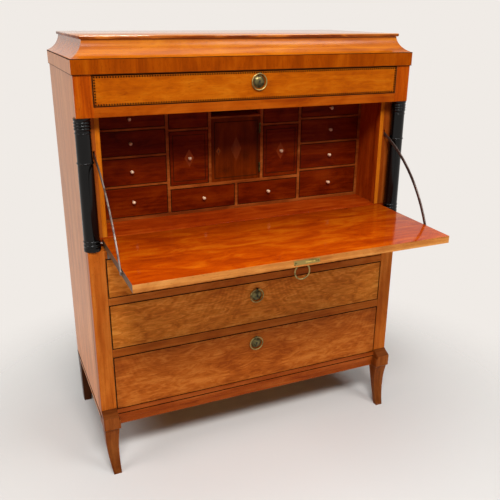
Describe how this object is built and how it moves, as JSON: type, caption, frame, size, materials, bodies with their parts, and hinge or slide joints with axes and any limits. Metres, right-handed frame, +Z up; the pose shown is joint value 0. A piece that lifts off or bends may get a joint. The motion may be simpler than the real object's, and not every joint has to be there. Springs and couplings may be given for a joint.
{
  "type": "fall front secretaire",
  "caption": "Upright birch writing cabinet: a drop-down writing leaf on curved iron stays before a nest of small drawers and a cupboard, turned black columns, long drawers below.",
  "frame": {"origin": "on the floor, under the middle of the whole outline with the fall open", "axes": "+Z up, +X to the right of someone facing the front, -Y out of the front"},
  "size_m": [1.0128, 0.7534, 1.2651],
  "materials": {
    "birch": "french polished",
    "figured_birch": "french polished, flame figure",
    "polished_birch": "high gloss polish",
    "inner_pine": "plain, unpolished",
    "nest_wood": "polished reddish brown",
    "nest_fronts": "polished dark red brown",
    "post_wood": "polished reddish birch",
    "ebonised": "black satin stain",
    "aged_brass": "aged and darkened",
    "dark_iron": "dark and worn"
  },
  "bodies": {
    "case": {"side_left": "birch", "side_right": "birch", "back_panel": "inner_pine", "bottom_board": "birch", "rail_lower": "birch", "rail_upper": "birch", "ledge_rail": "birch", "lower_stile_left": "birch", "lower_stile_right": "birch", "compartment_floor": "polished_birch", "compartment_ceiling": "inner_pine", "inner_post_left": "post_wood", "inner_post_right": "post_wood", "column_left": "ebonised", "column_right": "ebonised", "frieze_frame": "birch", "cornice_band": "birch", "cornice_cavetto": "birch", "top_board": "birch", "base_frame": "birch", "leg_front_left": "birch", "leg_front_right": "birch", "leg_back_left": "birch", "leg_back_right": "birch", "nest_carcass": "nest_wood", "hinge_plate_left": "dark_iron", "hinge_plate_right": "dark_iron"},
    "fall": {"fall_front": "polished_birch", "fall_lock": "aged_brass", "pull_plate_fall": "aged_brass"},
    "fall_ring": {"pull_ring_fall": "aged_brass"},
    "left_stay": {"stay_left": "dark_iron"},
    "right_stay": {"stay_right": "dark_iron"},
    "lower_drawer": {"drawer_lower": "figured_birch", "pull_plate_lower": "aged_brass"},
    "lower_ring": {"pull_ring_lower": "aged_brass"},
    "middle_drawer": {"drawer_middle": "figured_birch", "pull_plate_middle": "aged_brass"},
    "middle_ring": {"pull_ring_middle": "aged_brass"},
    "upper_drawer": {"drawer_upper": "figured_birch", "pull_plate_upper": "aged_brass"},
    "upper_ring": {"pull_ring_upper": "aged_brass"},
    "frieze_drawer": {"drawer_frieze": "figured_birch", "pull_plate_frieze": "aged_brass"},
    "frieze_ring": {"pull_ring_frieze": "aged_brass"},
    "door": {"cupboard_door": "nest_fronts"},
    "bank_left_1": {"nest_drawer_bank_left_1": "nest_fronts"},
    "bank_left_2": {"nest_drawer_bank_left_2": "nest_fronts"},
    "bank_left_3": {"nest_drawer_bank_left_3": "nest_fronts"},
    "bank_left_4": {"nest_drawer_bank_left_4": "nest_fronts"},
    "bank_right_1": {"nest_drawer_bank_right_1": "nest_fronts"},
    "bank_right_2": {"nest_drawer_bank_right_2": "nest_fronts"},
    "bank_right_3": {"nest_drawer_bank_right_3": "nest_fronts"},
    "bank_right_4": {"nest_drawer_bank_right_4": "nest_fronts"},
    "tall_left": {"nest_drawer_tall_left": "nest_fronts"},
    "tall_right": {"nest_drawer_tall_right": "nest_fronts"},
    "small_left": {"nest_drawer_small_left": "nest_fronts"},
    "small_right": {"nest_drawer_small_right": "nest_fronts"},
    "low_left": {"nest_drawer_low_left": "nest_fronts"},
    "low_right": {"nest_drawer_low_right": "nest_fronts"}
  },
  "joints": [
    {"name": "fall_hinge", "type": "hinge", "parent": "case", "child": "fall", "pos_m": [0, -0.0339, 0.72455], "axis": [1, 0, 0], "range_deg": [-90, 0]},
    {"name": "fall_ring_swing", "type": "hinge", "parent": "fall", "child": "fall_ring", "pos_m": [0, -0.35215, 0.7103], "axis": [-1, 0, 0], "range_deg": [-88, 80]},
    {"name": "left_stay_pin", "type": "hinge", "parent": "fall", "child": "left_stay", "pos_m": [-0.45555, -0.2679, 0.72455], "axis": [1, 0, 0], "range_deg": [0, 30]},
    {"name": "right_stay_pin", "type": "hinge", "parent": "fall", "child": "right_stay", "pos_m": [0.45555, -0.2679, 0.72455], "axis": [1, 0, 0], "range_deg": [0, 30]},
    {"name": "lower_drawer_slide", "type": "slide", "parent": "case", "child": "lower_drawer", "axis": [0, -1, 0], "range_m": [0, 0.3]},
    {"name": "lower_ring_swing", "type": "hinge", "parent": "lower_drawer", "child": "lower_ring", "pos_m": [0, -0.06735, 0.3548], "axis": [-1, 0, 0], "range_deg": [0, 80]},
    {"name": "middle_drawer_slide", "type": "slide", "parent": "case", "child": "middle_drawer", "axis": [0, -1, 0], "range_m": [0, 0.3]},
    {"name": "middle_ring_swing", "type": "hinge", "parent": "middle_drawer", "child": "middle_ring", "pos_m": [0, -0.06735, 0.5208], "axis": [-1, 0, 0], "range_deg": [0, 80]},
    {"name": "upper_drawer_slide", "type": "slide", "parent": "case", "child": "upper_drawer", "axis": [0, -1, 0], "range_m": [0, 0.25]},
    {"name": "upper_ring_swing", "type": "hinge", "parent": "upper_drawer", "child": "upper_ring", "pos_m": [0, -0.06735, 0.6613], "axis": [-1, 0, 0], "range_deg": [0, 80]},
    {"name": "frieze_drawer_slide", "type": "slide", "parent": "case", "child": "frieze_drawer", "axis": [0, -1, 0], "range_m": [0, 0.3]},
    {"name": "frieze_ring_swing", "type": "hinge", "parent": "frieze_drawer", "child": "frieze_ring", "pos_m": [0, -0.06735, 1.1638], "axis": [-1, 0, 0], "range_deg": [0, 80]},
    {"name": "door_hinge", "type": "hinge", "parent": "case", "child": "door", "pos_m": [0.0781, 0.10015, 0.8268], "axis": [0, 0, 1], "range_deg": [0, 90]},
    {"name": "bank_left_1_slide", "type": "slide", "parent": "case", "child": "bank_left_1", "axis": [0, -1, 0], "range_m": [0, 0.16]},
    {"name": "bank_left_2_slide", "type": "slide", "parent": "case", "child": "bank_left_2", "axis": [0, -1, 0], "range_m": [0, 0.16]},
    {"name": "bank_left_3_slide", "type": "slide", "parent": "case", "child": "bank_left_3", "axis": [0, -1, 0], "range_m": [0, 0.16]},
    {"name": "bank_left_4_slide", "type": "slide", "parent": "case", "child": "bank_left_4", "axis": [0, -1, 0], "range_m": [0, 0.16]},
    {"name": "bank_right_1_slide", "type": "slide", "parent": "case", "child": "bank_right_1", "axis": [0, -1, 0], "range_m": [0, 0.16]},
    {"name": "bank_right_2_slide", "type": "slide", "parent": "case", "child": "bank_right_2", "axis": [0, -1, 0], "range_m": [0, 0.16]},
    {"name": "bank_right_3_slide", "type": "slide", "parent": "case", "child": "bank_right_3", "axis": [0, -1, 0], "range_m": [0, 0.16]},
    {"name": "bank_right_4_slide", "type": "slide", "parent": "case", "child": "bank_right_4", "axis": [0, -1, 0], "range_m": [0, 0.16]},
    {"name": "tall_left_slide", "type": "slide", "parent": "case", "child": "tall_left", "axis": [0, -1, 0], "range_m": [0, 0.16]},
    {"name": "tall_right_slide", "type": "slide", "parent": "case", "child": "tall_right", "axis": [0, -1, 0], "range_m": [0, 0.16]},
    {"name": "small_left_slide", "type": "slide", "parent": "case", "child": "small_left", "axis": [0, -1, 0], "range_m": [0, 0.16]},
    {"name": "small_right_slide", "type": "slide", "parent": "case", "child": "small_right", "axis": [0, -1, 0], "range_m": [0, 0.16]},
    {"name": "low_left_slide", "type": "slide", "parent": "case", "child": "low_left", "axis": [0, -1, 0], "range_m": [0, 0.16]},
    {"name": "low_right_slide", "type": "slide", "parent": "case", "child": "low_right", "axis": [0, -1, 0], "range_m": [0, 0.16]}
  ],
  "couplings": [
    {"joint": "left_stay_pin", "follows": "fall_hinge", "ratio": -0.3},
    {"joint": "right_stay_pin", "follows": "fall_hinge", "ratio": -0.3}
  ]
}
